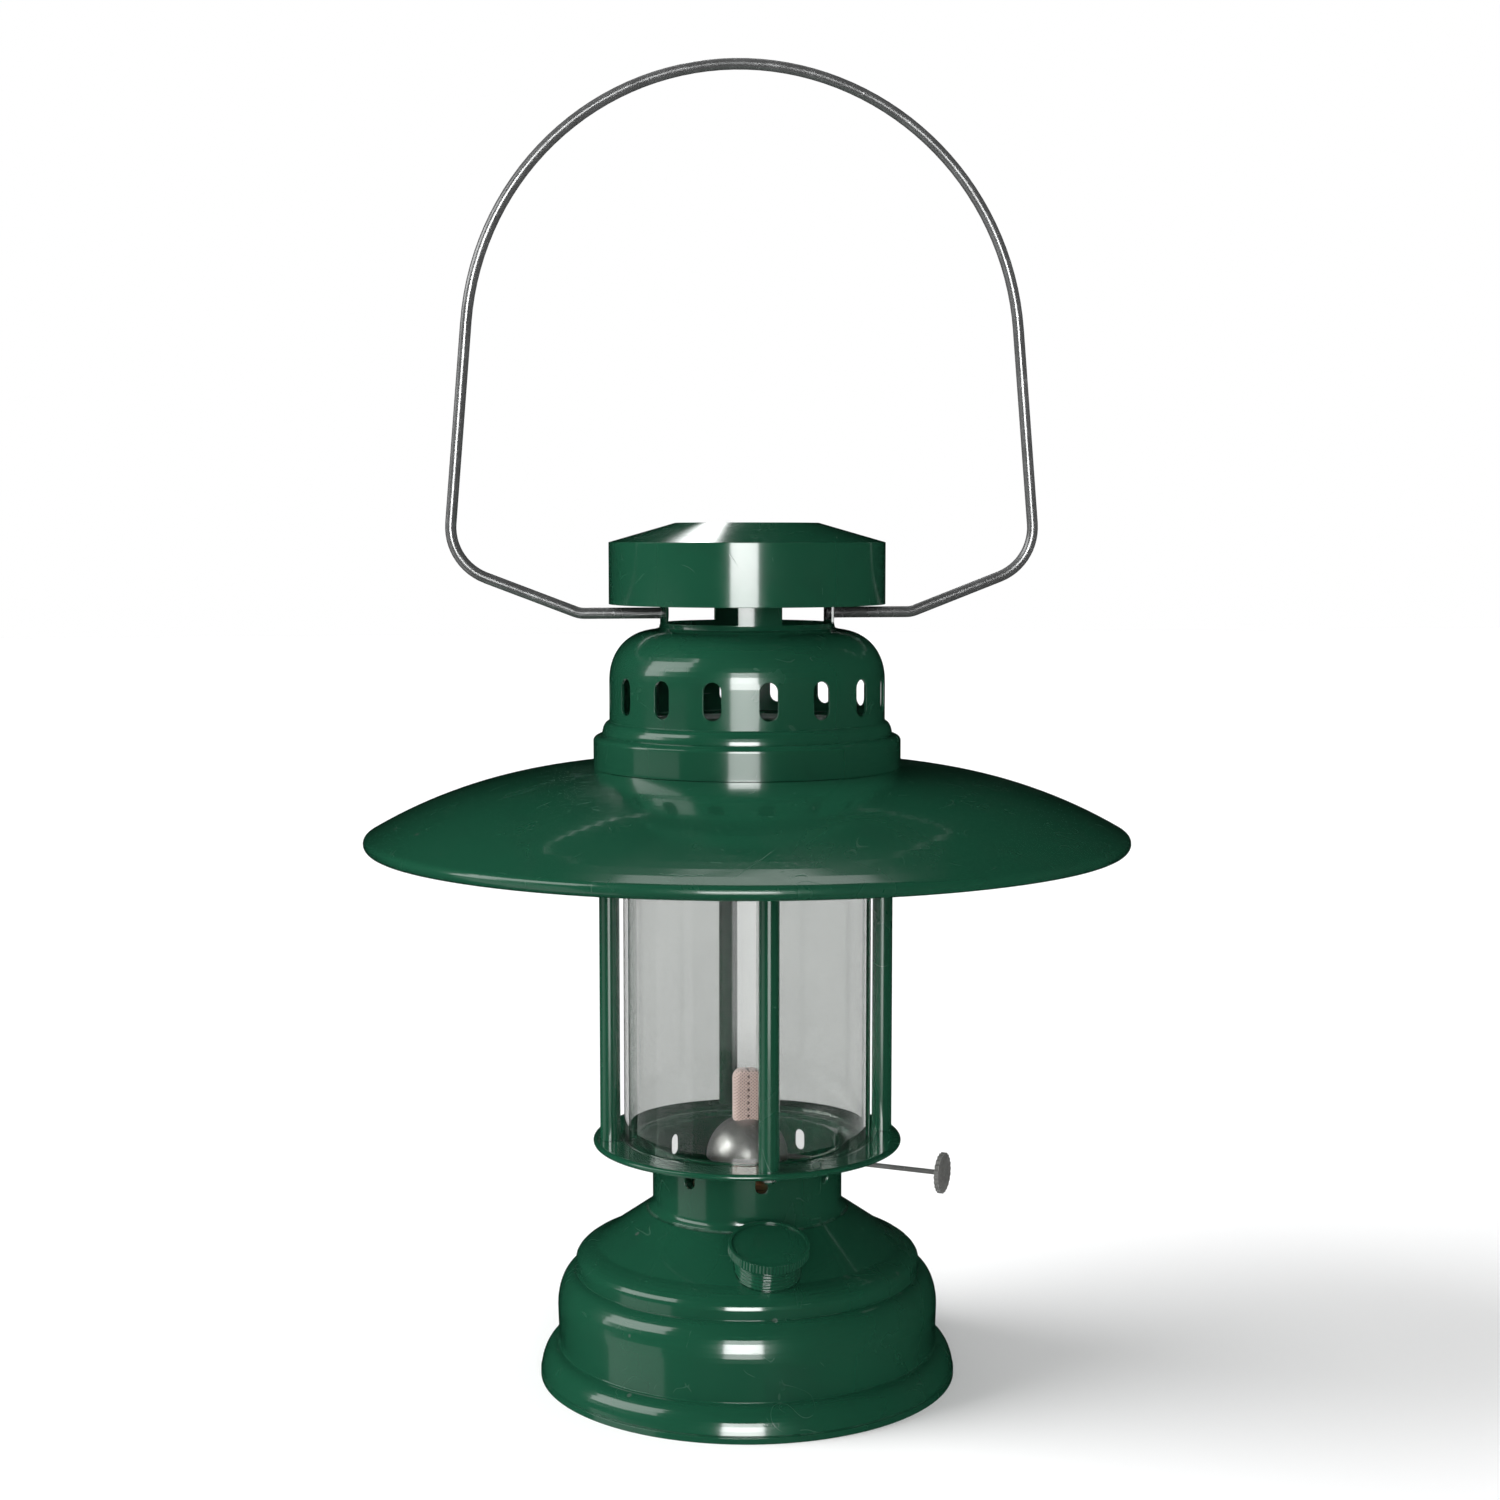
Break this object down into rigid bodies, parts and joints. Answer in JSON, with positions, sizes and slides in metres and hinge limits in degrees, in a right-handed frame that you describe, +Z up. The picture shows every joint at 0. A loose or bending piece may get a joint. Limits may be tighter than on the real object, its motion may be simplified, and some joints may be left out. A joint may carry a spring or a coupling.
{
  "type": "kerosene camping lantern",
  "caption": "Free-standing kerosene lantern: round tank, caged glass globe, wide shade, vented crown, hood and swinging wire bail.",
  "frame": {"origin": "centre of the foot's resting face", "axes": "+Z up, +X along the bail's pivot axis, -Y towards the filler cap"},
  "size_m": [0.2622, 0.2622, 0.4512],
  "materials": {
    "green_enamel": "glossy dark green enamel with fine scratches",
    "bail_steel": "drawn steel wire, polished by handling",
    "knob_steel": "plain steel, finely scratched",
    "burner_steel": "spun steel, dulled by heat",
    "burner_brass": "aged brass",
    "nut_steel": "plated steel",
    "wick_cotton": "woven cotton braid",
    "globe_glass": "clear glass with a faint grey tint",
    "seal_cork": "pressed cork"
  },
  "bodies": {
    "lantern": {"tank_shell": "green_enamel", "tank_bottom": "green_enamel", "neck": "green_enamel", "filler_neck": "green_enamel", "burner_collar": "burner_brass", "burner_gasket": "seal_cork", "burner_base": "burner_brass", "wick_tube": "burner_brass", "winder_bracket": "burner_brass", "burner_dome": "burner_steel", "shaft_bush": "burner_brass", "globe_plate": "green_enamel", "rod_front": "green_enamel", "rod_right": "green_enamel", "rod_back": "green_enamel", "rod_left": "green_enamel", "rod_nuts_lower": "nut_steel", "rod_nuts_upper": "nut_steel", "globe_guide": "green_enamel", "shade": "green_enamel", "crown_base": "green_enamel", "crown": "green_enamel", "hood_collar": "green_enamel", "hood": "green_enamel"},
    "bail": {"bail": "bail_steel"},
    "winder": {"wick_shaft": "knob_steel", "wick_wheels": "burner_brass", "wick_knob": "knob_steel"},
    "wick_strip": {"wick": "wick_cotton"},
    "glass": {"globe": "globe_glass"},
    "seal": {"filler_gasket": "seal_cork"},
    "cap": {"filler_cap": "green_enamel"}
  },
  "joints": [
    {"name": "bail_swing", "type": "hinge", "parent": "lantern", "child": "bail", "pos_m": [0, 0, 0.2655], "axis": [1, 0, 0], "range_deg": [-126.5, 126.5]},
    {"name": "winder_turn", "type": "hinge", "parent": "lantern", "child": "winder", "pos_m": [0.0033, 0.00525, 0.0756], "axis": [0.8462, -0.5329, 0], "range_deg": [-40, 265]},
    {"name": "wick_raise", "type": "slide", "parent": "lantern", "child": "wick_strip", "axis": [0, 0, 1], "range_m": [-0.02, 0.0031]},
    {"name": "globe_lift", "type": "slide", "parent": "lantern", "child": "glass", "axis": [0, 0, 1], "range_m": [0, 0.04]},
    {"name": "seal_lift", "type": "slide", "parent": "lantern", "child": "seal", "axis": [0, -0.2924, 0.9563], "range_m": [0, 0.004]},
    {"name": "cap_turn", "type": "hinge", "parent": "seal", "child": "cap", "pos_m": [0, -0.0485, 0.0589], "axis": [0, -0.2924, 0.9563], "range_deg": [0, 1080]}
  ],
  "couplings": [
    {"joint": "wick_raise", "follows": "winder_turn", "m_per_rad": -0.0043},
    {"joint": "seal_lift", "follows": "cap_turn", "m_per_rad": 0.0002069}
  ]
}
